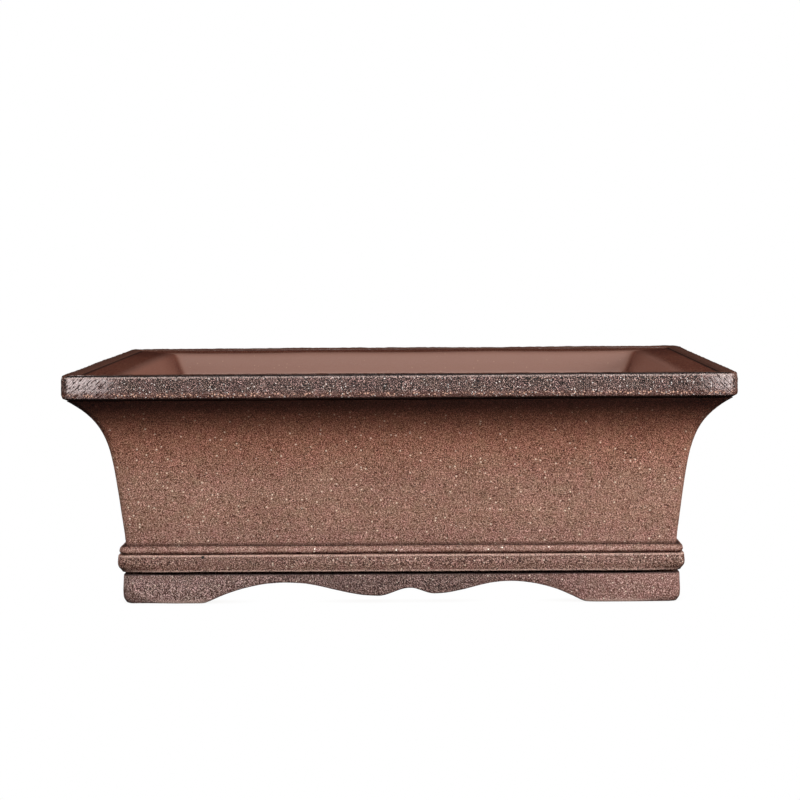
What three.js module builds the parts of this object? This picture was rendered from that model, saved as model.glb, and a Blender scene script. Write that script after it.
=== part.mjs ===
// Rectangular unglazed clay bonsai pot, built up from the slabs and strips that a potter lutes together.
// Millimetres, +Z up. The origin is the centre of the footprint, on the surface that the pot stands on.
import * as THREE from 'three';

// Overall size
const POT_LENGTH = 360;
const POT_DEPTH = 270;
const POT_HEIGHT = 127.2;
const RIM_REACH = 29.2; // how far the rim face stands out beyond the foot of the wall, on every side

// The foot of the wall is the rectangle that every section's offsets are counted from, outwards.
const BASE_HALF_LENGTH = POT_LENGTH / 2 - RIM_REACH;
const BASE_HALF_DEPTH = POT_DEPTH / 2 - RIM_REACH;

// Joints
const SEAM = 0.3; // gap left for the slip between two neighbours
const CORNER_STEPS = 3; // facets from a straight side to the mitre

// Feet
const APRON_TOP = 15.9;
const APRON_INNER = -9;
const APRON_FACE = 1.9;
const APRON_CORNER_RADIUS = 5;
const FOOT_EDGE = 2; // height of the worn lower edge of the feet

// Lower edge of an apron: from a notch near the middle it drops, rises to an arch and runs down to the toe
// of the foot. Places are shares of the half length, counted from the notch. The front one is cut by eye,
// with the notch to the right of the middle and the longer arch on the left.
const NOTCH_HEIGHT = 8.2;
const EVEN_CUT = { dropAt: 0.105, dropHeight: 4.3, archAt: 0.4, archHeight: 11.5, toeAt: 0.68 };
const FRONT_LEFT_CUT = { dropAt: 0.118, dropHeight: 3.8, archAt: 0.444, archHeight: 11.4, toeAt: 0.736 };
const FRONT_RIGHT_CUT = { dropAt: 0.086, dropHeight: 5, archAt: 0.357, archHeight: 11.7, toeAt: 0.621 };
const FRONT_NOTCH_X = 5.2;
const CURVE_STEPS = 5; // facets in each stretch of the lower edge

// Floor
const FLOOR_UNDERSIDE = APRON_TOP + SEAM;
const FLOOR_TOP = 25;
const DRAIN_HOLE_RADIUS = 14;
const DRAIN_HOLE_X = 72;
const WIRE_HOLE_RADIUS = 3.5;
const WIRE_HOLE_X = 112;
const WIRE_HOLE_Y = 62;

// Waist mouldings, which wrap the joint between the floor and the walls
const WAIST_BAND_BOTTOM = 17.6;
const WAIST_BAND_TOP = 27.1;
const WAIST_BAND_FACE = 4.2;
const WAIST_BEAD_BOTTOM = 27.5;
const WAIST_BEAD_TOP = 32;
const WAIST_BEAD_FACE = 3.4;
const WAIST_CORNER_RADIUS = 4;

// Walls: upright to WALL_SPRING, then leaning out, then flaring to the rim
const WALL_FOOT = FLOOR_TOP + SEAM;
const WALL_SPRING = 34;
const WALL_TOP = 113.2;
const WALL_LEAN = 9.2;
const WALL_FLARE = 17.6;
const FLARE_POWER = 6.4;
const WALL_INNER = -9.2;
const MOUTH_INNER = -6.8; // the wall's inner face where it meets the rim
const WALL_CORNER_RADIUS = 3;
const WALL_STEPS = 12;

// Rim: a flat ledge on top of the wall, and a band round its edge that stands proud as a lip
const RIM_UNDERSIDE = WALL_TOP + SEAM;
const LEDGE_INNER_TOP = 125.4;
const LEDGE_OUTER_TOP = 126.1;
const LEDGE_OUTER = 21.4;
const LIP_INNER = LEDGE_OUTER + SEAM;
const RIM_CORNER_RADIUS = 5;
const LIP_CORNER_RADIUS = 2;
const MOUTH_CORNER_RADIUS = 6;

const LONG_SIDE = { halfRun: BASE_HALF_LENGTH, reach: BASE_HALF_DEPTH };
const SHORT_SIDE = { halfRun: BASE_HALF_DEPTH, reach: BASE_HALF_LENGTH };
const EVEN_APRON = { notchX: 0, leftCut: EVEN_CUT, rightCut: EVEN_CUT };
const FRONT_APRON = { notchX: FRONT_NOTCH_X, leftCut: FRONT_LEFT_CUT, rightCut: FRONT_RIGHT_CUT };
const SIDES = [
  { name: 'front', turn: 0, ...LONG_SIDE, ...FRONT_APRON },
  { name: 'right', turn: Math.PI / 2, ...SHORT_SIDE, ...EVEN_APRON },
  { name: 'back', turn: Math.PI, ...LONG_SIDE, ...EVEN_APRON },
  { name: 'left', turn: -Math.PI / 2, ...SHORT_SIDE, ...EVEN_APRON },
];

const CLAY = {
  wall: new THREE.MeshStandardMaterial({ color: 0x8c6856, roughness: 0.75, metalness: 0 }),
  rim: new THREE.MeshStandardMaterial({ color: 0x745850, roughness: 0.6, metalness: 0 }),
  waist: new THREE.MeshStandardMaterial({ color: 0x87665a, roughness: 0.7, metalness: 0 }),
  foot: new THREE.MeshStandardMaterial({ color: 0x735851, roughness: 0.8, metalness: 0 }),
};

// The stations of a strip, from its right mitre to its left one. A corner station has an angle from the
// straight side, and a station on the straight side has only a place along the run. Going from right to
// left keeps an extrusion's faces pointing out when its section is laid upright.
function stationsAlong(places) {
  const corner = [];
  for (let step = 0; step <= CORNER_STEPS; step += 1) {
    corner.push((step / CORNER_STEPS) * (Math.PI / 4));
  }
  return [
    ...corner.toReversed().map((angle) => ({ end: 1, angle })),
    ...places.map((place) => ({ end: 0, place })),
    ...corner.map((angle) => ({ end: -1, angle })),
  ];
}

// Where a section point lies at one station of the front strip: offset is counted outwards from the foot
// of the wall, and radius is that of the pot's upright corner at that point.
function pointAt(side, station, offset, radius) {
  if (station.end === 0) {
    return [station.place, -(side.reach + offset)];
  }
  const slipGap = station.angle === Math.PI / 4 ? SEAM / 2 / Math.SQRT2 : 0;
  const x = side.halfRun + offset - radius * (1 - Math.sin(station.angle)) - slipGap;
  const y = side.reach + offset - radius * (1 - Math.cos(station.angle)) + slipGap;
  return [station.end * x, -y];
}

// A mitred strip: its section of [offset, height] points is extruded with one step per station, and the
// extrusion is then bent along the side and round half of each corner.
function stripGeometry(side, section, radiusAt, places = [], heightAt = (height) => height) {
  const stations = stationsAlong(places);
  const outline = new THREE.Shape(section.map(([offset, height]) => new THREE.Vector2(offset, height)));
  const steps = stations.length - 1;
  const geometry = new THREE.ExtrudeGeometry(outline, { depth: steps, steps, bevelEnabled: false });
  const vertices = geometry.getAttribute('position');
  for (let i = 0; i < vertices.count; i += 1) {
    const offset = vertices.getX(i);
    const height = vertices.getY(i);
    const station = stations[Math.round(vertices.getZ(i))];
    const [x, y] = pointAt(side, station, offset, radiusAt(height, offset));
    vertices.setXYZ(i, x, y, heightAt(height, x));
  }
  geometry.computeVertexNormals();
  return geometry;
}

// Offset of the wall's outer face at a height
function wallFace(height) {
  const rise = Math.max(0, (height - WALL_SPRING) / (WALL_TOP - WALL_SPRING));
  return WALL_LEAN * rise + WALL_FLARE * rise ** FLARE_POWER;
}

function wallSection() {
  const outer = [[0, WALL_FOOT]];
  for (let step = 0; step <= WALL_STEPS; step += 1) {
    // The steps crowd towards the top, where the flare turns fastest.
    const share = 1 - (1 - step / WALL_STEPS) ** 1.6;
    const height = WALL_SPRING + (WALL_TOP - WALL_SPRING) * share;
    outer.push([wallFace(height), height]);
  }
  const inner = [
    [MOUTH_INNER, WALL_TOP],
    [MOUTH_INNER - 1.6, 95],
    [WALL_INNER, 66],
    [WALL_INNER, WALL_FOOT],
  ];
  return [...outer, ...inner];
}

// Radii of the pot's upright corners at a point of each section
function wallRadius(height, offset) {
  if (offset < 0) {
    return MOUTH_CORNER_RADIUS;
  }
  const rise = (height - WALL_FOOT) / (WALL_TOP - WALL_FOOT);
  return WALL_CORNER_RADIUS + (RIM_CORNER_RADIUS - WALL_CORNER_RADIUS) * rise ** 2;
}

const ledgeRadius = (height, offset) => (offset < LEDGE_OUTER ? MOUTH_CORNER_RADIUS : LIP_CORNER_RADIUS);

function rimBandRadius(height, offset) {
  const share = (offset - LIP_INNER) / (RIM_REACH - LIP_INNER);
  return LIP_CORNER_RADIUS + (RIM_CORNER_RADIUS - LIP_CORNER_RADIUS) * share;
}

const waistRadius = (height, offset) => (offset > SEAM ? WAIST_CORNER_RADIUS : WALL_CORNER_RADIUS + SEAM);

const apronRadius = () => APRON_CORNER_RADIUS;

const LEDGE_SECTION = [
  [LEDGE_OUTER, RIM_UNDERSIDE],
  [LEDGE_OUTER, LEDGE_OUTER_TOP],
  [2.2, LEDGE_INNER_TOP],
  [0.1, LEDGE_INNER_TOP - 0.5],
  [-1.6, LEDGE_INNER_TOP - 1.6],
  [-3.2, 121.6],
  [-5.1, 117.8],
  [MOUTH_INNER, RIM_UNDERSIDE],
];

const RIM_BAND_SECTION = [
  [LIP_INNER, RIM_UNDERSIDE],
  [WALL_LEAN + WALL_FLARE, RIM_UNDERSIDE],
  [28.3, 114.8],
  [28.9, 115.6],
  [RIM_REACH, 116.8],
  [RIM_REACH, 124.8],
  [28.8, 126.2],
  [27.9, POT_HEIGHT],
  [23.8, POT_HEIGHT],
  [22.4, POT_HEIGHT - 0.4],
  [LIP_INNER, POT_HEIGHT - 1.3],
];

const WAIST_BAND_SECTION = [
  [SEAM, WAIST_BAND_BOTTOM],
  [WAIST_BAND_FACE - 1.8, WAIST_BAND_BOTTOM],
  [WAIST_BAND_FACE - 0.7, WAIST_BAND_BOTTOM + 0.9],
  [WAIST_BAND_FACE, WAIST_BAND_BOTTOM + 3.8],
  [WAIST_BAND_FACE, WAIST_BAND_TOP - 2.6],
  [WAIST_BAND_FACE - 0.4, WAIST_BAND_TOP - 0.7],
  [WAIST_BAND_FACE - 1.2, WAIST_BAND_TOP],
  [SEAM, WAIST_BAND_TOP],
];

const WAIST_BEAD_SECTION = [
  [SEAM, WAIST_BEAD_BOTTOM],
  [WAIST_BEAD_FACE - 0.7, WAIST_BEAD_BOTTOM],
  [WAIST_BEAD_FACE, WAIST_BEAD_BOTTOM + 0.9],
  [WAIST_BEAD_FACE - 0.1, WAIST_BEAD_BOTTOM + 2.4],
  [WAIST_BEAD_FACE - 0.8, WAIST_BEAD_BOTTOM + 3.5],
  [WAIST_BEAD_FACE - 2, WAIST_BEAD_TOP - 0.2],
  [SEAM, WAIST_BEAD_TOP],
];

const APRON_SECTION = [
  [APRON_INNER, 0],
  [APRON_FACE - 1.6, 0],
  [APRON_FACE - 0.6, 0.6],
  [APRON_FACE, FOOT_EDGE],
  [APRON_FACE - 0.2, APRON_TOP],
  [APRON_INNER, APRON_TOP],
];

const easedShare = (share) => (1 - Math.cos(Math.PI * share)) / 2;

// Height of an apron's cut lower edge at a share of its half length from the notch
function edgeHeight(share, { dropAt, dropHeight, archAt, archHeight, toeAt }) {
  if (share < dropAt) {
    return NOTCH_HEIGHT + (dropHeight - NOTCH_HEIGHT) * easedShare(share / dropAt);
  }
  if (share < archAt) {
    return dropHeight + (archHeight - dropHeight) * easedShare((share - dropAt) / (archAt - dropAt));
  }
  if (share < toeAt) {
    return archHeight * (1 - ((share - archAt) / (toeAt - archAt)) ** 2);
  }
  return 0;
}

// Shares of the half length at which the lower edge gets a facet, from just past the notch outwards
function edgeShares({ dropAt, archAt, toeAt }) {
  const shares = [];
  for (const [from, to] of [[0, dropAt], [dropAt, archAt], [archAt, toeAt]]) {
    for (let step = 1; step <= CURVE_STEPS; step += 1) {
      shares.push(from + ((to - from) * step) / CURVE_STEPS);
    }
  }
  return shares;
}

function apronGeometry(side) {
  const { notchX, leftCut, rightCut } = side;
  const halfLength = side.halfRun + APRON_FACE;
  const rightPlaces = edgeShares(rightCut).map((share) => notchX + share * halfLength);
  const leftPlaces = edgeShares(leftCut).map((share) => notchX - share * halfLength);
  const places = [...rightPlaces.toReversed(), notchX, ...leftPlaces];
  const lift = (height, x) => {
    const share = Math.abs(x - notchX) / halfLength;
    const raised = Math.min(height, FOOT_EDGE) + edgeHeight(share, x < notchX ? leftCut : rightCut);
    return height < APRON_TOP / 2 ? raised : height;
  };
  return stripGeometry(side, APRON_SECTION, apronRadius, places, lift);
}

function roundHole(x, y, radius, curveSteps) {
  const circle = new THREE.Path();
  circle.absarc(x, y, radius, 0, 2 * Math.PI, true);
  return new THREE.Path(circle.getPoints(curveSteps).slice(0, -1));
}

function floorGeometry() {
  const halfX = BASE_HALF_LENGTH;
  const halfY = BASE_HALF_DEPTH;
  const radius = WALL_CORNER_RADIUS;
  const slab = new THREE.Shape();
  slab.absarc(halfX - radius, halfY - radius, radius, 0, Math.PI / 2);
  slab.absarc(-halfX + radius, halfY - radius, radius, Math.PI / 2, Math.PI);
  slab.absarc(-halfX + radius, -halfY + radius, radius, Math.PI, 1.5 * Math.PI);
  slab.absarc(halfX - radius, -halfY + radius, radius, 1.5 * Math.PI, 2 * Math.PI);
  for (const x of [-DRAIN_HOLE_X, DRAIN_HOLE_X]) {
    slab.holes.push(roundHole(x, 0, DRAIN_HOLE_RADIUS, 32));
  }
  for (const x of [-WIRE_HOLE_X, WIRE_HOLE_X]) {
    for (const y of [-WIRE_HOLE_Y, WIRE_HOLE_Y]) {
      slab.holes.push(roundHole(x, y, WIRE_HOLE_RADIUS, 16));
    }
  }
  return new THREE.ExtrudeGeometry(slab, {
    depth: FLOOR_TOP - FLOOR_UNDERSIDE,
    bevelEnabled: false,
    curveSegments: CORNER_STEPS * 2,
  });
}

function namedMesh(name, geometry, clay) {
  const mesh = new THREE.Mesh(geometry, clay.clone());
  mesh.name = name;
  return mesh;
}

const pot = new THREE.Group();
pot.name = 'bonsai_pot';

const floor = namedMesh('floor_slab', floorGeometry(), CLAY.foot);
floor.position.z = FLOOR_UNDERSIDE;
pot.add(floor);

for (const side of SIDES) {
  const quarter = new THREE.Group();
  quarter.rotation.z = side.turn;
  quarter.add(
    namedMesh(`foot_apron_${side.name}`, apronGeometry(side), CLAY.foot),
    namedMesh(`waist_band_${side.name}`, stripGeometry(side, WAIST_BAND_SECTION, waistRadius), CLAY.waist),
    namedMesh(`waist_bead_${side.name}`, stripGeometry(side, WAIST_BEAD_SECTION, waistRadius), CLAY.waist),
    namedMesh(`wall_${side.name}`, stripGeometry(side, wallSection(), wallRadius), CLAY.wall),
    namedMesh(`rim_ledge_${side.name}`, stripGeometry(side, LEDGE_SECTION, ledgeRadius), CLAY.rim),
    namedMesh(`rim_band_${side.name}`, stripGeometry(side, RIM_BAND_SECTION, rimBandRadius), CLAY.rim),
  );
  pot.add(quarter);
}

export default pot;
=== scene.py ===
import math

import bpy
import numpy as np
from mathutils import Matrix, Vector
from mathutils.geometry import delaunay_2d_cdt


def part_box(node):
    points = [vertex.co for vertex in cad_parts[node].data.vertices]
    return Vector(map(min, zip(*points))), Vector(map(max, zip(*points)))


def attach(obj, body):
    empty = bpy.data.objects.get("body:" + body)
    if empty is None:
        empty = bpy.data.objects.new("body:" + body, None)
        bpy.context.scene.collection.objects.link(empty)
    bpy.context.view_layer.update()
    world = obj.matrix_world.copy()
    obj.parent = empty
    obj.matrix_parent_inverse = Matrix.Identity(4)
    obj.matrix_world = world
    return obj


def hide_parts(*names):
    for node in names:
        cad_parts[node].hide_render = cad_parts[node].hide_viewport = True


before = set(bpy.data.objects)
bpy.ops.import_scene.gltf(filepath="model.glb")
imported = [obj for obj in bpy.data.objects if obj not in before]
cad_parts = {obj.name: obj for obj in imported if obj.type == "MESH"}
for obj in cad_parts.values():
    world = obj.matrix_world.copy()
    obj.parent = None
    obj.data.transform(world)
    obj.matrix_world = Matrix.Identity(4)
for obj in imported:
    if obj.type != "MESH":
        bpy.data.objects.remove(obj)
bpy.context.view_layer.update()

# A rectangular unglazed clay bonsai pot. Shapes are worked out in millimetres and written in metres.
MM = 0.001


# ---------------------------------------------------------------- sizes, from the frame

def low_mm(node, axis):
    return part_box(node)[0][axis] / MM


def high_mm(node, axis):
    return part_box(node)[1][axis] / MM


X, Y, Z = 0, 1, 2
HALF_LENGTH = high_mm("floor_slab", X)  # the foot of the wall: every section's offsets count out from it
HALF_DEPTH = high_mm("floor_slab", Y)
FLOOR_UNDERSIDE = low_mm("floor_slab", Z)
FLOOR_TOP = high_mm("floor_slab", Z)
APRON_TOP = high_mm("foot_apron_front", Z)
APRON_FACE = -low_mm("foot_apron_front", Y) - HALF_DEPTH
APRON_INNER = -high_mm("foot_apron_front", Y) - HALF_DEPTH
BAND_BOTTOM = low_mm("waist_band_front", Z)
BAND_TOP = high_mm("waist_band_front", Z)
BAND_FACE = -low_mm("waist_band_front", Y) - HALF_DEPTH
BEAD_BOTTOM = low_mm("waist_bead_front", Z)
BEAD_TOP = high_mm("waist_bead_front", Z)
BEAD_FACE = -low_mm("waist_bead_front", Y) - HALF_DEPTH
WALL_TOP = high_mm("wall_front", Z)
WALL_REACH = -low_mm("wall_front", Y) - HALF_DEPTH
LEDGE_TOP = high_mm("rim_ledge_front", Z)
LEDGE_OUTER = -low_mm("rim_ledge_front", Y) - HALF_DEPTH
MOUTH_INNER = -high_mm("rim_ledge_front", Y) - HALF_DEPTH
RIM_TOP = high_mm("rim_band_front", Z)
RIM_FACE = -low_mm("rim_band_front", Y) - HALF_DEPTH

# Shapes that the frame gives no box for. Offsets, radii and heights are in millimetres.
WALL_SPRING = 34  # height at which the wall starts to lean out
WALL_LEAN = 9.2
FLARE_POWER = 6.4
WALL_STEPS = 24
WALL_INNER = -9.2
RIM_FOOT = WALL_TOP + 1.7  # lower edge of the rim's face, over the undercut that runs in to the wall
WALL_RADIUS = 3
WAIST_RADIUS = 4
RIM_RADIUS = 5
LIP_RADIUS = 2
MOUTH_RADIUS = 6
LEDGE_MIDDLE = 12  # offset from which the ledge's corner tightens from the mouth's radius to the lip's
APRON_RADIUS = 5
CORNER_STEPS = 8  # stations from a straight side to the mitre
BAND_WEAR = 1.7  # depth of the wear on the lower edges of the waist and feet, at the pot's corners
FOOT_WEAR = 1.25
WEAR_WIDTH = 2.1
WEAR_REACH = 14
NICK_PLACE = (-108, -HALF_DEPTH - BAND_FACE, BAND_TOP - 1.2)  # a small chip in the waist band's front
NICK_RADIUS = 1.3
NICK_BUMP = -2.0  # its depth, as a multiple of the clay's relief

SIDES = ("front", "right", "back", "left")
TURNS = (0, math.pi / 2, math.pi, -math.pi / 2)


# ---------------------------------------------------------------- repeatable noise

def lattice(ix, iy, iz, seed):
    """A repeatable number from -1 to 1 at each whole-number point."""
    h = (ix * 73856093) ^ (iy * 19349663) ^ (iz * 83492791) ^ (seed * 40503)
    h = ((h ^ (h >> 13)) * 1274126177) & 0xFFFFFFFF
    h = ((h ^ (h >> 15)) * 2246822519) & 0xFFFFFFFF
    return ((h ^ (h >> 16)) & 0xFFFF) / 32767.5 - 1


def noise(points, size, seed):
    """Smooth value noise from -1 to 1, with features of about that size, at an array of points."""
    p = points / size
    cell = np.floor(p).astype(np.int64)
    t = p - cell
    t = t * t * (3 - 2 * t)
    total = 0
    for corner in np.ndindex(2, 2, 2):
        weight = np.prod([t[..., k] if corner[k] else 1 - t[..., k] for k in range(3)], axis=0)
        total = total + weight * lattice(*(cell[..., k] + corner[k] for k in range(3)), seed)
    return total


# ---------------------------------------------------------------- sections

NEARLY_STRAIGHT = 1.55  # half the angle, in radians, from which a corner gets no fillet
FILLET_SHARE = 0.49  # the most of a stretch that the fillet at one end of it may take


def rounded(corners, step):
    """A line through [offset, height, fillet] corners, with round fillets, cut into steps of about that
    length."""
    corners = [np.array(c, float) for c in corners]
    line = [corners[0][:2]]
    for before, here, after in zip(corners, corners[1:], corners[2:]):
        a = before[:2] - here[:2]
        b = after[:2] - here[:2]
        length_a, length_b = np.linalg.norm(a), np.linalg.norm(b)
        a, b = a / length_a, b / length_b
        half = math.acos(np.clip(a @ b, -1, 1)) / 2
        if here[2] == 0 or half > NEARLY_STRAIGHT:
            line.append(here[:2])
            continue
        reach = min(here[2] / math.tan(half), FILLET_SHARE * length_a, FILLET_SHARE * length_b)
        radius = reach * math.tan(half)
        centre = here[:2] + (a + b) / np.linalg.norm(a + b) * radius / math.sin(half)
        start, end = here[:2] + a * reach - centre, here[:2] + b * reach - centre
        turn = math.pi - 2 * half
        count = max(3, math.ceil(turn * radius / step) + 1)
        for share in np.linspace(0, 1, count):
            arm = (math.sin((1 - share) * turn) * start + math.sin(share * turn) * end) / math.sin(turn)
            line.append(centre + arm)
    line.append(corners[-1][:2])
    cut = [line[0]]
    for a, b in zip(line, line[1:]):
        count = max(1, round(np.linalg.norm(b - a) / step))
        cut.extend(a + (b - a) * k / count for k in range(1, count + 1))
    return np.array(cut)


def wall_face(height):
    rise = max(0, (height - WALL_SPRING) / (WALL_TOP - WALL_SPRING))
    return WALL_LEAN * rise + (WALL_REACH - WALL_LEAN) * rise ** FLARE_POWER


def outer_wall_line():
    """The wall's outer face, from the underside of the rim down to the bead. Its points crowd where the
    flare turns fastest."""
    drop = WALL_TOP - BEAD_TOP - 0.6
    heights = [WALL_TOP - drop * (k / WALL_STEPS) ** 1.5 for k in range(WALL_STEPS + 1)]
    curve = [[wall_face(h), h, 2] for h in heights]
    return rounded([*curve, [-0.2, BEAD_TOP - 0.2, 0.3], [-0.9, BEAD_TOP - 1.1, 0]], 1.6)


def inner_wall_line():
    """The wall's inner face, from the fillet pressed into its joint with the floor up to the rim."""
    return rounded([[WALL_INNER - 4.5, FLOOR_TOP - 0.6, 0], [WALL_INNER, FLOOR_TOP + 0.8, 4],
                    [WALL_INNER, 66, 30], [MOUTH_INNER - 1.6, 95, 30], [MOUTH_INNER, WALL_TOP, 0]], 2)


def ledge_line():
    """From the mouth, over the rounded inner edge of the rim, to the foot of the lip."""
    return rounded([[MOUTH_INNER, WALL_TOP, 0], [-6.0, 117.8, 10], [-2.6, LEDGE_TOP - 0.7, 3.0],
                    [LEDGE_OUTER + 0.2, LEDGE_TOP, 0]], 1.2)


def rim_line():
    """From the foot of the lip, over the lip and down the rim's face, to its underside."""
    return rounded([[LEDGE_OUTER + 0.2, LEDGE_TOP - 0.1, 0], [LEDGE_OUTER + 0.9, RIM_TOP, 0.9],
                    [RIM_FACE - 0.7, RIM_TOP, 1.1], [RIM_FACE, RIM_TOP - 3.5, 6],
                    [RIM_FACE, RIM_FOOT + 1.6, 3], [RIM_FACE - 0.5, RIM_FOOT, 0.7],
                    [WALL_REACH - 0.4, WALL_TOP + 0.3, 0.4], [WALL_REACH - 1.4, WALL_TOP + 0.1, 0]], 0.55)


def bead_line():
    """Over the rounded bead, from the wall above it to the band below."""
    return rounded([[-0.9, BEAD_TOP - 1.2, 0], [0.6, BEAD_TOP - 0.1, 0.3],
                    [BEAD_FACE - 0.6, BEAD_TOP - 0.6, 1.6], [BEAD_FACE, BEAD_BOTTOM + 1.2, 1.5],
                    [BEAD_FACE - 1.2, BEAD_BOTTOM, 0.7], [-0.4, BEAD_BOTTOM - 0.1, 0]], 0.45)


def band_line():
    """Over the flat band, from under the bead to its own underside."""
    return rounded([[-0.4, BAND_TOP, 0], [BAND_FACE - 0.4, BAND_TOP, 0.7], [BAND_FACE, BAND_TOP - 4.5, 12],
                    [BAND_FACE - 0.5, BAND_BOTTOM, 0.45], [-3.5, BAND_BOTTOM + 0.1, 0]], 0.5)


def apron_line():
    """The apron's outer face, worn lower edge and inner face. Heights are those over the flat of a foot."""
    return rounded([[0, APRON_TOP + 0.2, 0], [APRON_FACE - 0.4, APRON_TOP, 0.6], [APRON_FACE, 7, 20],
                    [APRON_FACE - 0.2, 0, 1.0], [APRON_INNER, 0, 1.2], [APRON_INNER, APRON_TOP, 0]], 0.7)


# Radii of the pot's upright corners at points of a section

def wall_radius(offset, height):
    rise = np.clip((height - FLOOR_TOP) / (WALL_TOP - FLOOR_TOP), 0, 1)
    return WALL_RADIUS + (RIM_RADIUS - WALL_RADIUS) * rise ** 2


def rim_radius(offset, height):
    share = np.clip((offset - LEDGE_OUTER) / (RIM_FACE - 1 - LEDGE_OUTER), 0, 1)
    return np.where(height < RIM_TOP - 4, RIM_RADIUS, LIP_RADIUS + (RIM_RADIUS - LIP_RADIUS) * share)


def mouth_radius(offset, height):
    share = np.clip((offset - LEDGE_MIDDLE) / (LEDGE_OUTER - LEDGE_MIDDLE), 0, 1)
    return MOUTH_RADIUS + (LIP_RADIUS - MOUTH_RADIUS) * share


# ---------------------------------------------------------------- rings: a section carried round the pot

def stations(spacing):
    """Places round the whole pot: (side, end, angle or share), from the front's left mitre, anticlockwise.
    Each side starts and ends on a mitre, and the next side starts on the same mitre."""
    found = []
    starts = []
    for side in range(4):
        half = HALF_LENGTH if side % 2 == 0 else HALF_DEPTH
        count = round(2 * half / spacing)
        starts.append(len(found))
        found += [(side, -1, math.pi / 4 * (1 - k / CORNER_STEPS)) for k in range(CORNER_STEPS)]
        found += [(side, 0, -1 + 2 * k / count) for k in range(count + 1)]
        found += [(side, 1, math.pi / 4 * k / CORNER_STEPS) for k in range(1, CORNER_STEPS)]
    return found, starts + [len(found)]


def corner_wear(depth, face, low):
    """Clay rubbed off a strip's lower edge near the pot's corners: how far a section's points move in."""
    def wear(offsets, heights, from_corner):
        from_edge = np.hypot(face - offsets, heights - low)
        return depth * np.exp(-(from_corner / WEAR_REACH) ** 2 - (from_edge / WEAR_WIDTH) ** 2)
    return wear


class Ring:
    """A surface: one line of a section carried round all four sides, with its mitre stations. Lift changes
    the heights along a side, wear moves points in and relief moves them along their normals."""

    def __init__(self, line, radius, spacing, lift=None, relief=None, wear=None):
        self.places, self.starts = stations(spacing)
        offsets, heights = line[:, 0], line[:, 1]
        radii = radius(offsets, heights) if callable(radius) else np.full(len(line), float(radius))
        rows = []
        for side, end, value in self.places:
            half, reach = (HALF_LENGTH, HALF_DEPTH) if side % 2 == 0 else (HALF_DEPTH, HALF_LENGTH)
            from_corner = 0 if end else half * (1 - abs(value))
            out = offsets - wear(offsets, heights, from_corner) if wear else offsets
            if end:
                x = end * (half + out - radii * (1 - math.sin(value)))
                y = -(reach + out - radii * (1 - math.cos(value)))
            else:
                x = value * (half + out - radii)
                y = -(reach + out)
            z = lift(side, x, heights) if lift else heights
            c, s = round(math.cos(TURNS[side])), round(math.sin(TURNS[side]))
            rows.append(np.stack([c * x - s * y, s * x + c * y, z], axis=-1))
        self.points = np.array(rows)
        if relief:
            self.points = self.points + self.normals() * relief(self.points, line)[..., None]
            self.points[..., Z] = np.maximum(self.points[..., Z], 0)
        self.shading = self.normals()

    def normals(self):
        """Outward unit normals, from each point's neighbours along the side and down the section."""
        p = self.points

        def unit(v):
            return v / np.maximum(np.linalg.norm(v, axis=-1, keepdims=True), 1e-9)

        along = unit(np.roll(p, -1, 0) - p) + unit(p - np.roll(p, 1, 0))
        steps = unit(p[:, 1:] - p[:, :-1])
        down = np.concatenate([steps[:, :1], steps[:, 1:] + steps[:, :-1], steps[:, -1:]], axis=1)
        return unit(np.cross(down, along))

    def side_rows(self, side):
        """Indices of one side's stations, from mitre to mitre."""
        return [k % len(self.places) for k in range(self.starts[side], self.starts[side + 1] + 1)]


def edge_fade(line, reach):
    """1 over most of a line, falling to 0 at its two ends."""
    lengths = np.concatenate([[0], np.cumsum(np.linalg.norm(np.diff(line, axis=0), axis=1))])
    return np.clip(np.minimum(lengths, lengths[-1] - lengths) / reach, 0, 1)


def unevenness(points, waves):
    """What hand work leaves: waves are (size, height, seed), in millimetres."""
    return sum(height * noise(points, size, seed) for size, height, seed in waves)


def hand_relief(waves, fade_reach):
    """Unevenness that fades out towards the two ends of a section's line."""
    def relief(points, line):
        return unevenness(points, waves) * edge_fade(line, fade_reach)
    return relief


# ---------------------------------------------------------------- pieces

def finish_piece(node, vertices, faces, normals, hidden, material):
    """Makes the piece for a CAD node, from arrays in millimetres. Hidden holds the numbers of the flat
    joint faces."""
    mesh = bpy.data.meshes.new(node + "_clay")
    mesh.from_pydata((vertices * MM).tolist(), [], faces)
    mesh.polygons.foreach_set("use_smooth", np.ones(len(faces), bool))
    mesh.update()
    if normals is not None:
        split = normals[np.fromiter((v for f in faces for v in f), int)]
        for k in hidden:
            face = mesh.polygons[k]
            split[face.loop_start:face.loop_start + face.loop_total] = face.normal
        mesh.normals_split_custom_set(split.tolist())
    mesh.materials.append(material)
    piece = bpy.data.objects.new(node + "_clay", mesh)
    bpy.context.scene.collection.objects.link(piece)
    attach(piece, "root")
    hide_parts(node)


def cut_piece(node, side, spans, material):
    """One slab or strip. Spans are (ring, first, last) runs of its outline, in order, joined by flat joint
    faces, and their rings have the same stations."""
    rows = spans[0][0].side_rows(side)
    parts = [ring.points[rows][:, first:last] for ring, first, last in spans]
    points = np.concatenate(parts, axis=1)
    shading = np.concatenate([ring.shading[rows][:, first:last] for ring, first, last in spans], axis=1)
    joints = set(np.cumsum([part.shape[1] for part in parts]) - 1)
    count, width = points.shape[:2]
    faces = []
    hidden = set()
    for i in range(count - 1):
        for j in range(width):
            k = (j + 1) % width
            if j in joints:
                hidden.add(len(faces))
            faces.append((i * width + j, i * width + k, (i + 1) * width + k, (i + 1) * width + j))
    hidden.update((len(faces), len(faces) + 1))
    faces.append(tuple(reversed(range(width))))
    faces.append(tuple(range((count - 1) * width, count * width)))
    finish_piece(node, points.reshape(-1, 3), faces, shading.reshape(-1, 3), hidden, material)


# ---------------------------------------------------------------- the feet's cut edge

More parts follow.
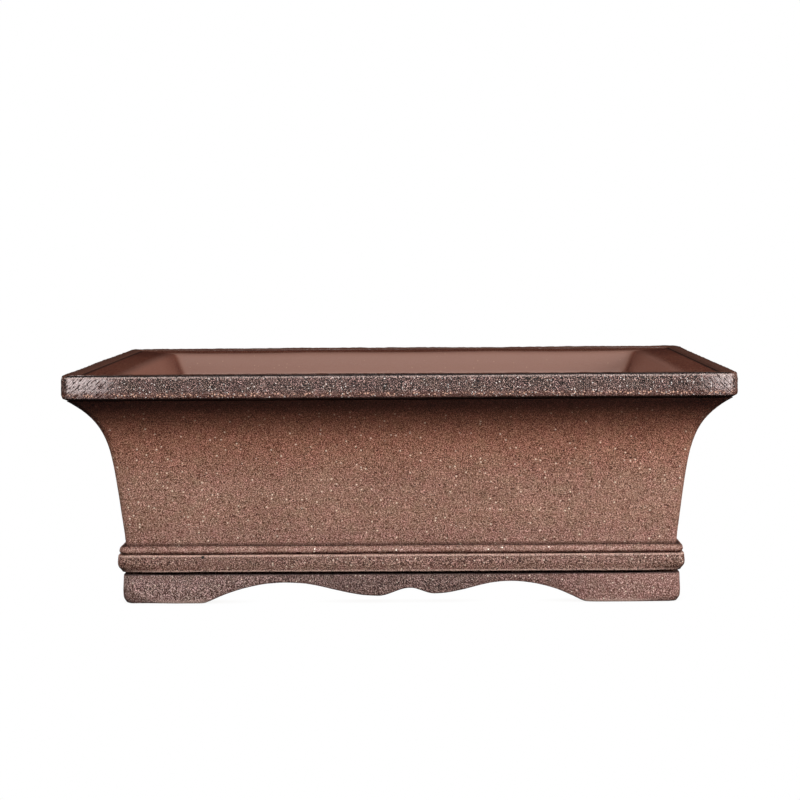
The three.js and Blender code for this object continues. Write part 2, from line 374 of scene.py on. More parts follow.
NOTCH_HEIGHT = 8.2
FRONT_NOTCH_X = 5.2
TOE_SOFTNESS = 1.1
# (place, height) of the drop, place and height of the arch, and place of the toe, counted from the notch as
# shares of the half length
EVEN_CUT = (0.105, 4.3, 0.4, 11.5, 0.68)
FRONT_LEFT_CUT = (0.118, 3.8, 0.444, 11.4, 0.736)
FRONT_RIGHT_CUT = (0.086, 5, 0.357, 11.7, 0.621)


def cut_height(share, cut):
    """Height of the lower edge at shares of the half length from the notch."""
    drop_at, drop_height, arch_at, arch_height, toe_at = cut

    def eased(start, end, low, high):
        t = np.clip((share - start) / (end - start), 0, 1)
        return low + (high - low) * (1 - np.cos(math.pi * t)) / 2

    slope = arch_height * (1 - (np.maximum(share - arch_at, 0) / (toe_at - arch_at)) ** 2)
    toe = (slope + np.sqrt(slope ** 2 + TOE_SOFTNESS ** 2)) / 2
    rise = np.where(share < arch_at, eased(drop_at, arch_at, drop_height, arch_height), toe)
    return np.where(share < drop_at, eased(0, drop_at, NOTCH_HEIGHT, drop_height), rise)


def apron_lift(side, x, heights):
    """Raises an apron's section over the arches of its cut lower edge, and leaves its top where it is."""
    half = (HALF_LENGTH if side % 2 == 0 else HALF_DEPTH) + APRON_FACE
    notch = FRONT_NOTCH_X if side == 0 else 0
    left, right = (FRONT_LEFT_CUT, FRONT_RIGHT_CUT) if side == 0 else (EVEN_CUT, EVEN_CUT)
    share = np.abs(x - notch) / half
    edge = np.where(x < notch, cut_height(share, left), cut_height(share, right))
    return heights + edge * (1 - np.clip(heights / APRON_TOP, 0, 1))


# ---------------------------------------------------------------- floor

DRAIN_RADIUS = 14
DRAIN_X = 72
WIRE_RADIUS = 3.5
WIRE_X, WIRE_Y = 112, 62
HOLE_ROUNDING = 1.4
SLAB_INSET = 1.0  # the slab's edge lies back in the groove under the waist band
EDGE_STEP = 0.01  # keeps the slab's edge apart from the sheets' outline
OUTLINE_STEPS = 6
FLOOR_STEP = 4
FLAT_MARGIN = 16  # the floor is flat this near its edge, under the walls
FLOOR_WAVES = [(38, 0.25, 5), (9, 0.08, 6)]


def loop_round(x, y, radius, count):
    return [(x + radius * math.cos(a), y + radius * math.sin(a))
            for a in (2 * math.pi * k / count for k in range(count))]


def slab_outline(inset):
    half_x = HALF_LENGTH - inset - WALL_RADIUS
    half_y = HALF_DEPTH - inset - WALL_RADIUS
    centres = [(half_x, half_y), (-half_x, half_y), (-half_x, -half_y), (half_x, -half_y)]
    loop = []
    for quarter, (x, y) in enumerate(centres):
        for k in range(OUTLINE_STEPS + 1):
            angle = math.pi / 2 * (quarter + k / OUTLINE_STEPS)
            loop.append((x + WALL_RADIUS * math.cos(angle), y + WALL_RADIUS * math.sin(angle)))
    return loop


def floor_holes():
    """The holes as (x, y, radius, number of sides)."""
    drains = [(x, 0, DRAIN_RADIUS, 64) for x in (-DRAIN_X, DRAIN_X)]
    wires = [(x, y, WIRE_RADIUS, 28) for x in (-WIRE_X, WIRE_X) for y in (-WIRE_Y, WIRE_Y)]
    return drains + wires


def in_hole(point, holes):
    """Whether a point lies within the sides of one of the holes."""
    for x, y, radius, count in holes:
        to_side = (radius + HOLE_ROUNDING) * math.cos(math.pi / count)
        if math.hypot(point[X] - x, point[Y] - y) < to_side + 1e-6:
            return True
    return False


def floor_layout(loops, holes):
    """Triangles between the outline and the holes: points, triangles, and the numbers that the loops'
    points got."""
    flat = []
    edges = []
    for loop in loops:
        start = len(flat)
        flat += loop
        edges += [(start + k, start + (k + 1) % len(loop)) for k in range(len(loop))]
    for x in np.arange(-HALF_LENGTH + FLOOR_STEP, HALF_LENGTH - FLOOR_STEP / 2, FLOOR_STEP):
        for y in np.arange(-HALF_DEPTH + FLOOR_STEP, HALF_DEPTH - FLOOR_STEP / 2, FLOOR_STEP):
            gaps = [math.hypot(x - hole_x, y - hole_y) - radius for hole_x, hole_y, radius, _ in holes]
            if min(gaps) > HOLE_ROUNDING + 1:
                flat.append((x, y))
    found = delaunay_2d_cdt([Vector(point) for point in flat], edges, [], 2, 1e-5)
    place = {source: k for k, sources in enumerate(found[3]) for source in sources}
    sheet = np.array([tuple(point) for point in found[0]])
    tiles = [tuple(tile) for tile in found[2] if not in_hole(sheet[list(tile)].mean(axis=0), holes)]
    return sheet, tiles, place


def wall_drops(is_hole):
    """The wall that joins the two sheets, from the top down: (share of the rounding passed, height)."""
    angles = (0.4, 0.8, 1.2, 1.57) if is_hole else (0,)
    upper = [(math.sin(a), FLOOR_TOP - HOLE_ROUNDING * (1 - math.cos(a))) for a in angles]
    lower = [(out, FLOOR_TOP + FLOOR_UNDERSIDE - height) for out, height in reversed(upper)]
    return upper + lower


def floor_slab(material):
    """The floor: two sheets on one layout, joined by walls round the outline and through each hole."""
    holes = floor_holes()
    loops = [slab_outline(SLAB_INSET)]
    loops += [loop_round(x, y, radius + HOLE_ROUNDING, count) for x, y, radius, count in holes]
    sheet, tiles, place = floor_layout(loops, holes)
    count = len(sheet)
    vertices = [(x, y, FLOOR_TOP) for x, y in sheet] + [(x, y, FLOOR_UNDERSIDE) for x, y in sheet]
    faces = tiles + [tuple(count + v for v in reversed(tile)) for tile in tiles]
    start = 0
    for number, loop in enumerate(loops):
        rows = [[place[start + k] for k in range(len(loop))]]
        for out, height in wall_drops(number > 0):
            if number:
                x, y, radius, sides = holes[number - 1]
                ring = loop_round(x, y, radius + HOLE_ROUNDING * (1 - out), sides)
            else:
                ring = slab_outline(SLAB_INSET - EDGE_STEP)
            rows.append([len(vertices) + k for k in range(len(ring))])
            vertices += [(x, y, height) for x, y in ring]
        rows.append([count + v for v in rows[0]])
        for upper, lower in zip(rows, rows[1:]):
            for k in range(len(loop)):
                n = (k + 1) % len(loop)
                face = (upper[k], lower[k], lower[n], upper[n])
                faces.append(tuple(reversed(face)) if number else face)
        start += len(loop)
    vertices = np.array(vertices)
    inside = np.abs(vertices[:, X]) < HALF_LENGTH - FLAT_MARGIN
    inside &= np.abs(vertices[:, Y]) < HALF_DEPTH - FLAT_MARGIN
    vertices[:, Z] += np.where(inside, unevenness(vertices, FLOOR_WAVES), 0)
    finish_piece("floor_slab", vertices, faces, None, (), material)


# ---------------------------------------------------------------- node helpers

def add(tree, kind, inputs=None, **settings):
    """Adds a node with its settings. Inputs are links where they are sockets, and values otherwise."""
    node = tree.nodes.new(kind)
    for key, value in settings.items():
        setattr(node, key, value)
    for key, value in (inputs or {}).items():
        if isinstance(value, bpy.types.NodeSocket):
            tree.links.new(value, node.inputs[key])
        else:
            node.inputs[key].default_value = value
    return node


def srgb(*shades):
    """A colour given in display shades from 0 to 255, as the linear colour that a shader takes."""
    return tuple(s / 3294.6 if s < 10 else ((s / 255 + 0.055) / 1.055) ** 2.4 for s in shades)


def ramp(tree, value, stops):
    """A colour ramp: stops are (place, colour)."""
    node = add(tree, "ShaderNodeValToRGB", {"Fac": value})
    elements = node.color_ramp.elements
    while len(elements) < len(stops):
        elements.new(0.5)
    for element, (place, colour) in zip(elements, stops):
        element.position = place
        element.color = (*colour, 1)
    return node.outputs["Color"]


def mixed(tree, share, first, second, blend="MIX"):
    """Mixes two colours, each a socket or a plain linear colour."""
    node = add(tree, "ShaderNodeMix", {"Factor": share}, data_type="RGBA", blend_type=blend)
    for socket, value in ((node.inputs[6], first), (node.inputs[7], second)):
        if isinstance(value, bpy.types.NodeSocket):
            tree.links.new(value, socket)
        else:
            socket.default_value = (*value, 1)
    return node.outputs[2]


# ---------------------------------------------------------------- clay

# Colours in display shades, and tints as multipliers
CREAM = (244, 224, 202)
DARK_SAND = (42, 26, 22)
INNER_CLAY = (151, 114, 101)  # where the inside has been wiped smooth
END_SHADE = (0.84, 0.68, 0.63)  # painted shade: the two ends are darker inside than the front and back
DARKEST = 5  # the display shade under which no grain goes
FINER_SIZE = 0.6  # the grain's second scale, as a share of the first
FINER_SHARE = 0.8
GRAIN_GAIN = 1.6  # how far the grain swings over its colours
CALM_GAIN = -1.3  # how much of that goes where the grain is calmed
CLOUD_SIZE = 24
CLOUD_SHARE = 0.16
HUE_SIZE = 6
GRAIN_EDGE = 2.2  # sharpness of the sand grains' outlines
SAND_BUMP = 0.25  # how far sand stands up and pits go in, as multiples of the clay's relief
PIT_BUMP = -0.4
SMOOTHED = -0.75  # how much of the relief goes where the clay was smoothed
GRAIN_GLOSS = -0.5  # the grain's lighter parts are less rough


class Clay:
    """A fired sand clay being made. Its fields are read from the place on the pot, in millimetres: height,
    offset outwards from the foot of the wall, distance along a side from the nearest corner, place across
    and place towards the back. The field called end is 1 on the pot's two ends and 0 on its front and back.
    A mask is a field from 0 to 1."""

    def __init__(self, name):
        self.material = bpy.data.materials.new(name)
        self.material.use_nodes = True
        self.tree = self.material.node_tree
        self.tree.nodes.clear()
        coordinates = add(self.tree, "ShaderNodeTexCoord").outputs["Object"]
        scaled = {"Vector": coordinates, "Scale": (1 / MM, 1 / MM, 1 / MM)}
        self.place = add(self.tree, "ShaderNodeMapping", scaled).outputs[0]
        split = add(self.tree, "ShaderNodeSeparateXYZ", {"Vector": self.place})
        self.across, self.back, self.height = split.outputs
        from_middle = self.maths("ABSOLUTE", self.across)
        from_centre = self.maths("ABSOLUTE", self.back)
        past_ends = self.maths("SUBTRACT", from_middle, HALF_LENGTH)
        past_fronts = self.maths("SUBTRACT", from_centre, HALF_DEPTH)
        self.offset = self.maths("MAXIMUM", past_ends, past_fronts)
        self.end = self.rise(self.maths("SUBTRACT", past_ends, past_fronts), -3.0, 3.0)
        self.run = self.maths("ADD", from_middle, from_centre)
        reach = self.maths("MULTIPLY_ADD", self.offset, 2.0, HALF_LENGTH + HALF_DEPTH)
        self.corner = self.maths("SUBTRACT", reach, self.run)

    def maths(self, operation, *values, clamp=False):
        inputs = dict(enumerate(values))
        return add(self.tree, "ShaderNodeMath", inputs, operation=operation, use_clamp=clamp).outputs[0]

    def rise(self, value, start, end):
        """0 up to start and 1 from end on, with a smooth change between them. Either may be the lower."""
        inputs = {"Value": value, "From Min": start, "From Max": end}
        node = add(self.tree, "ShaderNodeMapRange", inputs, interpolation_type="SMOOTHSTEP")
        return node.outputs["Result"]

    def mask(self, *masks):
        """The product of several masks."""
        product = masks[0]
        for mask in masks[1:]:
            product = self.maths("MULTIPLY", product, mask)
        return product

    def between(self, value, low, high, soft):
        """1 from low to high, fading to 0 just outside them."""
        return self.mask(self.rise(value, low - soft, low), self.rise(value, high + soft, high))

    def near(self, place, radius):
        """1 at a place on the pot, falling to 0 at the radius."""
        gap = add(self.tree, "ShaderNodeVectorMath", {0: self.place, 1: place}, operation="DISTANCE")
        return self.rise(gap.outputs["Value"], radius, radius * 0.5)

    def mottle(self, size, detail=0, place=None):
        """Noise about 0, with features of about that size in millimetres."""
        inputs = {"Vector": place or self.place, "Scale": 1 / size, "Detail": detail}
        return self.maths("SUBTRACT", add(self.tree, "ShaderNodeTexNoise", inputs).outputs["Fac"], 0.5)

    def grains(self, size, share, radius):
        """A mask of round grains, from cells of about that size of which that share holds one."""
        cells = add(self.tree, "ShaderNodeTexVoronoi", {"Vector": self.place, "Scale": 1 / size})
        lot = add(self.tree, "ShaderNodeSeparateColor", {"Color": cells.outputs["Color"]}).outputs[0]
        out = self.maths("DIVIDE", cells.outputs["Distance"], radius / size)
        near = self.maths("SUBTRACT", 1.0, out, clamp=True)
        disc = self.maths("MULTIPLY", near, GRAIN_EDGE, clamp=True)
        return self.maths("MULTIPLY", self.maths("LESS_THAN", lot, share), disc)

    def sandy(self, body, darker, lighter, size, calm=None):
        """Cloudy body colour with a grain that goes so many display shades darker and lighter."""
        coarse = self.mottle(size)
        self.grain = self.maths("MULTIPLY_ADD", self.mottle(size * FINER_SIZE), FINER_SHARE, coarse)
        gain = GRAIN_GAIN if calm is None else self.maths("MULTIPLY_ADD", calm, CALM_GAIN, GRAIN_GAIN)
        level = self.maths("MULTIPLY_ADD", self.grain, gain, 0.5)
        tone = self.maths("MULTIPLY_ADD", self.mottle(CLOUD_SIZE, 3), CLOUD_SHARE, level)
        swings = ((0, -darker), (0.25, -darker / 2), (0.5, 0), (0.75, lighter / 2), (1, lighter))
        stops = [(place, srgb(*(max(shade + swing, DARKEST) for shade in body))) for place, swing in swings]
        self.colour = ramp(self.tree, tone, stops)
        hue = self.maths("MULTIPLY_ADD", self.mottle(HUE_SIZE, 1), 2.0, 0.5, clamp=True)
        self.tinted(1.0, ramp(self.tree, hue, [(0.0, (0.95, 1.03, 0.98)), (1.0, (1.05, 0.98, 1.03))]))
        self.bumps = self.grain

    def paint(self, where, shades, strength=None):
        """Covers the colour there with a colour given in display shades."""
        share = where if strength is None else self.maths("MULTIPLY", where, strength)
        self.colour = mixed(self.tree, share, self.colour, srgb(*shades))

    def tinted(self, where, tint):
        """Multiplies the colour there."""
        self.colour = mixed(self.tree, where, self.colour, tint, "MULTIPLY")

    def sand(self, size, share, radius, shades, strength=1.0, where=None):
        """Grains of another colour in the clay, which stand up a little."""
        grains = self.maths("MULTIPLY", self.grains(size, share, radius), strength)
        if where is not None:
            grains = self.mask(grains, where)
        self.paint(grains, shades)
        self.bumps = self.maths("MULTIPLY_ADD", grains, SAND_BUMP, self.bumps)

    def pits(self, size, share, radius, shades=DARK_SAND, strength=0.85):
        """Small holes with dark sand in them."""
        holes = self.maths("MULTIPLY", self.grains(size, share, radius), strength)
        self.paint(holes, shades)
        self.bumps = self.maths("MULTIPLY_ADD", holes, PIT_BUMP, self.bumps)

    def fired(self, relief, roughness, smooth=None, sheen=0.5):
        """Closes the material. Relief is the depth of the surface's bumps in millimetres."""
        strength = 1.0 if smooth is None else self.maths("MULTIPLY_ADD", smooth, SMOOTHED, 1.0)
        bump = add(self.tree, "ShaderNodeBump",
                   {"Strength": strength, "Distance": relief * MM, "Height": self.bumps})
        rough = self.maths("MULTIPLY_ADD", self.grain, GRAIN_GLOSS, roughness, clamp=True)
        shader = add(self.tree, "ShaderNodeBsdfPrincipled",
                     {"Base Color": self.colour, "Roughness": rough, "Normal": bump.outputs["Normal"],
                      "Specular IOR Level": sheen})
        add(self.tree, "ShaderNodeOutputMaterial", {"Surface": shader.outputs[0]})
        return self.material


def wall_material():
    """Purple-brown body with sparse cream sand, painted shade under the rim, over the bead and inside the
    two ends, and wiped smooth inside.
    """
    clay = Clay("wall_clay")
    inside = clay.rise(clay.offset, -2.5, -4)
    outside = clay.rise(clay.offset, -2, 0)
    wiped = clay.mask(inside, clay.rise(clay.height, 35, 95))
    upper = clay.mask(clay.rise(clay.height, 84, 100), outside)
    clay.sandy(body=(142, 97, 77), darker=108, lighter=96, size=0.46, calm=wiped)
    clay.sand(size=1.6, share=0.25, radius=0.42, shades=(186, 146, 126), strength=0.5)
    clay.pits(size=2.4, share=0.2, radius=0.45)
    clay.tinted(clay.mask(clay.rise(clay.height, 50, 34), outside), (0.93, 0.92, 0.98))
    # Painted shade: here and in the two tints below, the outside darkens more and more towards the
    # underside of the rim
    clay.tinted(clay.mask(clay.rise(clay.height, 58, 96), outside), (0.93, 0.74, 0.66))
    clay.sand(size=2.7, share=0.3, radius=0.58, shades=CREAM, where=outside)
    clay.tinted(clay.mask(clay.rise(clay.height, 86, 108), outside), (0.5, 0.41, 0.36))
    clay.sand(size=1.2, share=0.5, radius=0.42, shades=(172, 118, 96), strength=0.6, where=upper)
    clay.tinted(clay.mask(clay.rise(clay.height, 104, 111), outside), (0.5, 0.36, 0.36))
    # Painted shade in the crease over the bead
    shade_over_bead = clay.rise(clay.height, BEAD_TOP + 1.9, BEAD_TOP + 0.3)
    clay.tinted(clay.mask(shade_over_bead, outside), (0.5, 0.46, 0.44))
    clay.paint(wiped, INNER_CLAY, 0.85)
    # Painted shade inside the two ends
    clay.tinted(clay.mask(inside, clay.end), END_SHADE)
    return clay.fired(relief=0.14, roughness=0.62, smooth=wiped)


def rim_material():
    """Dark tooled face with raised grey grain, a painted sheen at its corners, a painted highlight along
    its top edge and painted shade on its shoulder and underside.
    """
    clay = Clay("rim_clay")
    face = clay.rise(clay.offset, RIM_FACE - 1.6, RIM_FACE - 0.7)
    top = clay.maths("SUBTRACT", 1.0, face)
    clay.sandy(body=(46, 22, 16), darker=60, lighter=200, size=0.5, calm=clay.maths("MULTIPLY", top, 0.7))
    clay.tinted(face, (0.97, 0.8, 0.75))

    # Slanting strokes left by the tool near the corners, and a painted sheen on their tops
    over = clay.maths("MULTIPLY", clay.maths("ADD", clay.run, clay.height), 0.55)
    along = clay.maths("MULTIPLY", clay.maths("SUBTRACT", clay.run, clay.height), 0.08)
    slant = add(clay.tree, "ShaderNodeCombineXYZ", {"X": over, "Y": along}).outputs[0]
    strokes = clay.mottle(0.5, place=slant)
    stroked = clay.mask(clay.rise(clay.corner, 60, 18), face)
    from_end = clay.maths("MULTIPLY_ADD", clay.across, 0.04, clay.corner)  # the painted sheen reaches further along the left end
    # Painted sheen: the face lighter near the corners
    corner_sheen = clay.mask(face, clay.rise(from_end, 32, 3), clay.rise(clay.corner, 2.5, 5),
                       clay.rise(clay.height, RIM_FOOT - 5, RIM_FOOT + 8))
    clay.paint(clay.mask(corner_sheen, clay.rise(strokes, -0.2, 0.05)), (228, 208, 206))
    clay.paint(clay.mask(stroked, clay.rise(strokes, -0.06, -0.2)), (70, 48, 44))

    # Rust-coloured lower part, sand and pits
    low_edge = clay.between(clay.height, RIM_FOOT + 1.0, RIM_FOOT + 2.3, 0.5)
    clay.paint(clay.rise(clay.height, RIM_FOOT + 4.6, RIM_FOOT + 1.4), (118, 62, 46), 0.4)
    clay.sand(size=1.4, share=0.75, radius=0.6, shades=(255, 200, 172), where=low_edge)
    clay.sand(size=1.1, share=0.4, radius=0.4, shades=(176, 136, 124), strength=0.6, where=face)
    clay.sand(size=1.6, share=0.45, radius=0.44, shades=(252, 240, 234), where=face)
    clay.pits(size=1.2, share=0.6, radius=0.45, shades=(14, 6, 5), strength=0.95)

    # Top, painted shade on the shoulder, painted highlight along the top edge, and painted shade on the
    # underside
    clay.paint(top, (96, 58, 44), 0.75)
    # Painted shade on the upward-facing shoulder over the face
    shoulder_shade = clay.between(clay.height, RIM_TOP - 0.85, RIM_TOP - 0.12, 0.12)
    clay.paint(clay.mask(shoulder_shade, clay.rise(clay.offset, RIM_FACE - 1.4, RIM_FACE - 1.1)), (26, 13, 11))
    # Painted highlight along the face's top edge
    edge = clay.between(clay.height, RIM_TOP - 1.7, RIM_TOP - 1.05, 0.25)
    clay.paint(clay.mask(edge, face, clay.rise(clay.grain, -0.2, 0.02)), (206, 180, 172), 0.75)
    # Painted shade on the underside
    clay.paint(clay.rise(clay.height, RIM_FOOT + 0.3, RIM_FOOT - 0.4), (26, 12, 10))
    clay.bumps = clay.maths("MULTIPLY_ADD", clay.mask(strokes, stroked), 1.2, clay.bumps)
    return clay.fired(relief=0.5, roughness=0.42, smooth=top)


def ledge_material():
    """Dark smoothed top, and a fine reddish slope down into the mouth, with painted shade on the two ends'
    slope and towards their back, and a painted shadow at the foot of the lip.
    """
    clay = Clay("ledge_clay")
    slope = clay.rise(clay.offset, 7, -4)
    clay.sandy(body=(90, 44, 28), darker=50, lighter=50, size=0.6, calm=slope)
    clay.paint(slope, INNER_CLAY, 0.85)
    clay.sand(size=2.6, share=0.25, radius=0.5, shades=(172, 136, 116), strength=0.7)
    # Painted shade on the slope of the two ends
    clay.tinted(clay.mask(slope, clay.end), END_SHADE)
    # Painted shade towards the back of the two ends
    clay.tinted(clay.mask(clay.rise(clay.back, 20, 115), clay.end), (0.58, 0.46, 0.42))
    # Painted shadow of the lip on the ledge beside it
    clay.paint(clay.rise(clay.offset, LEDGE_OUTER - 2.6, LEDGE_OUTER - 0.6), (36, 18, 13))
    return clay.fired(relief=0.2, roughness=0.6, smooth=slope, sheen=0.3)


def waist_material():
    """The walls' clay, pressed smoother, with a painted highlight on the bead's crest and along the band's
    edges, and painted shade in the grooves and in a small chip.
    """
    clay = Clay("waist_clay")
    proud = clay.rise(clay.offset, BEAD_FACE - 1.6, BEAD_FACE - 0.6)
    crest = clay.mask(clay.between(clay.height, BEAD_BOTTOM + 1.4, BEAD_BOTTOM + 3.0, 0.7), proud)
    pressed = clay.maths("MULTIPLY", crest, 0.6)
    clay.sandy(body=(110, 70, 55), darker=100, lighter=112, size=0.52, calm=pressed)
    clay.sand(size=1.6, share=0.3, radius=0.42, shades=(172, 132, 114), strength=0.6)
    clay.sand(size=2.5, share=0.3, radius=0.5, shades=CREAM, strength=0.95)
    clay.pits(size=1.9, share=0.25, radius=0.42)
    # Painted highlight on the bead's crest
    clay.tinted(crest, (1.75, 2.0, 2.2))
    # Painted highlights along the band's top and lower edges
    top_edge = clay.between(clay.height, BAND_TOP - 0.9, BAND_TOP - 0.3, 0.3)
    low_edge = clay.between(clay.height, BAND_BOTTOM + 0.1, BAND_BOTTOM + 0.9, 0.3)
    edges = clay.maths("MAXIMUM", top_edge, low_edge)
    clay.paint(clay.mask(edges, proud, clay.rise(clay.grain, -0.25, 0.0)), (222, 184, 168), 0.75)
    # Painted shade in the grooves
    clay.paint(clay.rise(clay.offset, BEAD_FACE - 1.3, BEAD_FACE - 2.3), (40, 20, 16), 0.9)
    nick = clay.near(NICK_PLACE, NICK_RADIUS)
    # Painted shade in the chip
    clay.paint(nick, (20, 11, 9))
    clay.bumps = clay.maths("MULTIPLY_ADD", nick, NICK_BUMP, clay.bumps)
    return clay.fired(relief=0.2, roughness=0.56)


def foot_material():
    """A greyer, open clay, with a painted sheen lightest at the corners of the pot, painted light on its
    right end and painted shade under the waist band, and lighter along the edge that it stands on.
    """
    clay = Clay("foot_clay")
    right = clay.rise(clay.across, 20, 110)
    clay.sandy(body=(89, 57, 48), darker=90, lighter=116, size=0.5, calm=clay.maths("MULTIPLY", right, 0.5))
    # Painted sheen, lightest near the pot's corners
    clay.tinted(clay.rise(clay.corner, 110, 14), (1.65, 1.75, 1.8))
    # Painted light: the right end lighter
    clay.tinted(right, (1.36, 1.32, 1.3))
    clay.sand(size=1.6, share=0.35, radius=0.42, shades=(164, 132, 120), strength=0.6)
    clay.sand(size=2.5, share=0.28, radius=0.5, shades=CREAM, strength=0.9)
    clay.pits(size=1.9, share=0.25, radius=0.42)
    proud = clay.rise(clay.offset, APRON_FACE - 1.2, APRON_FACE - 0.3)
    clay.paint(clay.mask(clay.rise(clay.height, 2.4, 0.5), proud), (222, 190, 176), 0.5)
    # Painted shade under the waist band
    clay.paint(clay.rise(clay.height, APRON_TOP - 0.8, APRON_TOP), (40, 24, 21), 0.8)
    return clay.fired(relief=0.25, roughness=0.55)


def floor_material():
    """Rough brown clay that was never smoothed."""
    clay = Clay("floor_clay")
    clay.sandy(body=(134, 93, 74), darker=60, lighter=60, size=0.7)
    clay.sand(size=2.4, share=0.35, radius=0.45, shades=(170, 136, 120), strength=0.8)
    clay.sand(size=4.0, share=0.16, radius=0.6, shades=CREAM)
    clay.pits(size=1.9, share=0.35, radius=0.5)
    return clay.fired(relief=0.35, roughness=0.72)


# ---------------------------------------------------------------- the pot

wall_clay = wall_material()
rim_clay = rim_material()
ledge_clay = ledge_material()
waist_clay = waist_material()
foot_clay = foot_material()
floor_clay = floor_material()

# Distance between stations along a side
WALL_SPACING = 1.8
RIM_SPACING = 0.75
WAIST_SPACING = 1.3
APRON_SPACING = 1.0


def seam_ring(offset, height, radius, spacing):
    """A hidden corner of a section, where the strip meets its neighbours."""
    return Ring(np.array([[offset, height]] * 2), radius, spacing)


inner_wall = inner_wall_line()
interior = Ring(np.concatenate([inner_wall, ledge_line()[1:]]), mouth_radius, WALL_SPACING,
                relief=hand_relief([(55, 0.35, 1), (16, 0.10, 2), (5, 0.05, 3)], 6))
outer = Ring(outer_wall_line(), wall_radius, WALL_SPACING,
             relief=hand_relief([(70, 0.30, 11), (20, 0.08, 12), (5, 0.04, 13)], 5))
rim = Ring(rim_line(), rim_radius, RIM_SPACING,
           relief=hand_relief([(60, 0.25, 21), (9, 0.10, 22), (2.6, 0.12, 23), (1.5, 0.10, 24)], 2))
bead = Ring(bead_line(), WAIST_RADIUS, WAIST_SPACING,
            relief=hand_relief([(40, 0.18, 31), (8, 0.06, 32)], 1.5))
band = Ring(band_line(), WAIST_RADIUS, WAIST_SPACING,
            relief=hand_relief([(50, 0.22, 41), (9, 0.08, 42), (3, 0.04, 43)], 2),
            wear=corner_wear(BAND_WEAR, BAND_FACE, BAND_BOTTOM))
apron = Ring(apron_line(), APRON_RADIUS, APRON_SPACING, lift=apron_lift,
             relief=hand_relief([(50, 0.22, 51), (12, 0.12, 52), (3.5, 0.07, 53)], 2),
             wear=corner_wear(FOOT_WEAR, APRON_FACE, 0))
rim_seam = seam_ring(LEDGE_OUTER + 0.2, WALL_TOP, 3, RIM_SPACING)
ledge_seam = seam_ring(LEDGE_OUTER + 0.2, WALL_TOP, 3, WALL_SPACING)
wall_seam = seam_ring(-0.7, FLOOR_TOP, WALL_RADIUS, WALL_SPACING)

wall_rows = len(inner_wall)  # of the interior's rows, those below the rim
for side, word in enumerate(SIDES):
    cut_piece(f"wall_{word}", side, [(interior, 0, wall_rows), (outer, 0, None), (wall_seam, 0, 1)],
              wall_clay)
    cut_piece(f"rim_ledge_{word}", side, [(interior, wall_rows - 1, None), (ledge_seam, 0, 1)],
              ledge_clay)
    cut_piece(f"rim_band_{word}", side, [(rim, 0, None), (rim_seam, 0, 1)], rim_clay)
    cut_piece(f"waist_bead_{word}", side, [(bead, 0, None)], waist_clay)
    cut_piece(f"waist_band_{word}", side, [(band, 0, None)], waist_clay)
    cut_piece(f"foot_apron_{word}", side, [(apron, 0, None)], foot_clay)
floor_slab(floor_clay)


# ---------------------------------------------------------------- stage, light and camera

STAGE_HALF = 3.0  # metres
SHADOW_REACH = 0.012  # metres from the feet at which the contact shadow is gone
AIM = Vector((0, 0, 0.07))
FILL = 0.02

# Softboxes: (azimuth, elevation, distance, size, watts, shown in gloss). Azimuth 0 is in front, 90 is to
# the right.
SOFTBOXES = {
    "key": (0, 32, 1.6, 0.6, 18.4, True),
    "right": (58, 16, 0.9, 0.4, 4.4, True),
    "left": (-58, 18, 1.0, 0.4, 1.4, True),
    "back_left": (-130, 20, 1.6, 0.6, 12, False),
    "back_right": (130, 20, 1.6, 0.6, 12, False),
}

CAMERA_PLACE = (0.0161, -1.2436, 0.1994)
CAMERA_YAW, CAMERA_PITCH, CAMERA_ROLL = 0.802, -4.438, -0.404  # degrees
CAMERA_LENS = 94.48
CAMERA_SENSOR = 36


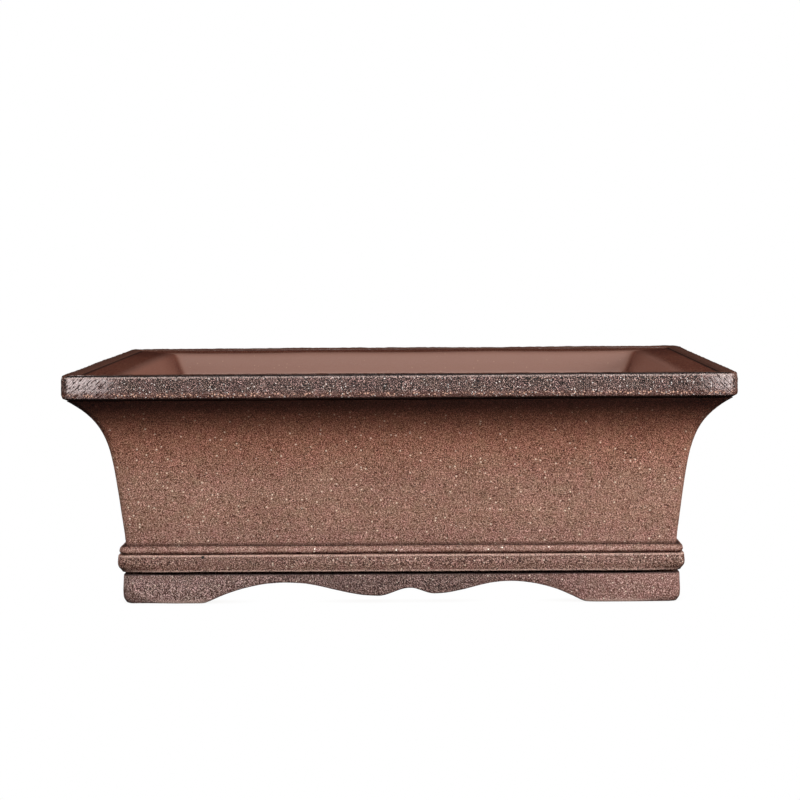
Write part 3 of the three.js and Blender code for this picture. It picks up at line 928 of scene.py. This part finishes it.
def stage_floor():
    """A pale floor with a faint soft shadow under the pot."""
    corners = [(-1, -1), (1, -1), (1, 1), (-1, 1)]
    mesh = bpy.data.meshes.new("stage_floor")
    mesh.from_pydata([(x * STAGE_HALF, y * STAGE_HALF, 0) for x, y in corners], [], [(0, 1, 2, 3)])
    floor = bpy.data.objects.new("stage_floor", mesh)
    bpy.context.scene.collection.objects.link(floor)
    material = bpy.data.materials.new("stage_floor")
    material.use_nodes = True
    tree = material.node_tree
    tree.nodes.clear()
    shade = add(tree, "ShaderNodeAmbientOcclusion", {"Distance": SHADOW_REACH}, samples=16)
    colour = ramp(tree, shade.outputs["AO"], [(0.0, (0.92, 0.91, 0.9)), (0.7, (1, 1, 1))])
    glow = add(tree, "ShaderNodeEmission", {"Color": colour, "Strength": 1.0})
    add(tree, "ShaderNodeOutputMaterial", {"Surface": glow.outputs[0]})
    mesh.materials.append(material)
    floor.visible_diffuse = False
    floor.visible_glossy = False
    floor.visible_shadow = False


def softbox(name, azimuth, elevation, distance, size, power, glossy):
    """A square soft light aimed at the pot."""
    a = math.radians(azimuth)
    e = math.radians(elevation)
    away = Vector((math.sin(a) * math.cos(e), -math.cos(a) * math.cos(e), math.sin(e)))
    light = bpy.data.lights.new(name, "AREA")
    light.shape = "SQUARE"
    light.size = size
    light.energy = power
    lamp = bpy.data.objects.new(name, light)
    bpy.context.scene.collection.objects.link(lamp)
    lamp.location = AIM + away * distance
    lamp.rotation_euler = away.to_track_quat("Z", "Y").to_euler()
    lamp.visible_camera = False
    lamp.visible_glossy = glossy


def studio():
    """White surroundings that give the pot only a little fill, and the softboxes."""
    world = bpy.data.worlds.new("studio")
    world.use_nodes = True
    tree = world.node_tree
    tree.nodes.clear()
    seen = add(tree, "ShaderNodeBackground", {"Color": (1, 1, 1, 1), "Strength": 1.0})
    fill = add(tree, "ShaderNodeBackground", {"Color": (1, 1, 1, 1), "Strength": FILL})
    path = add(tree, "ShaderNodeLightPath")
    mix = add(tree, "ShaderNodeMixShader",
              {0: path.outputs["Is Camera Ray"], 1: fill.outputs[0], 2: seen.outputs[0]})
    add(tree, "ShaderNodeOutputWorld", {"Surface": mix.outputs[0]})
    bpy.context.scene.world = world
    bpy.context.scene.view_settings.view_transform = "Standard"
    for name, settings in SOFTBOXES.items():
        softbox(name, *settings)


def camera():
    lens = bpy.data.cameras.new("camera")
    lens.lens = CAMERA_LENS
    lens.sensor_width = CAMERA_SENSOR
    eye = bpy.data.objects.new("camera", lens)
    bpy.context.scene.collection.objects.link(eye)
    turn = (Matrix.Rotation(math.radians(CAMERA_YAW), 4, "Z")
            @ Matrix.Rotation(math.radians(90 + CAMERA_PITCH), 4, "X")
            @ Matrix.Rotation(math.radians(CAMERA_ROLL), 4, "Z"))
    eye.matrix_world = Matrix.Translation(CAMERA_PLACE) @ turn
    bpy.context.scene.camera = eye


stage_floor()
studio()
camera()
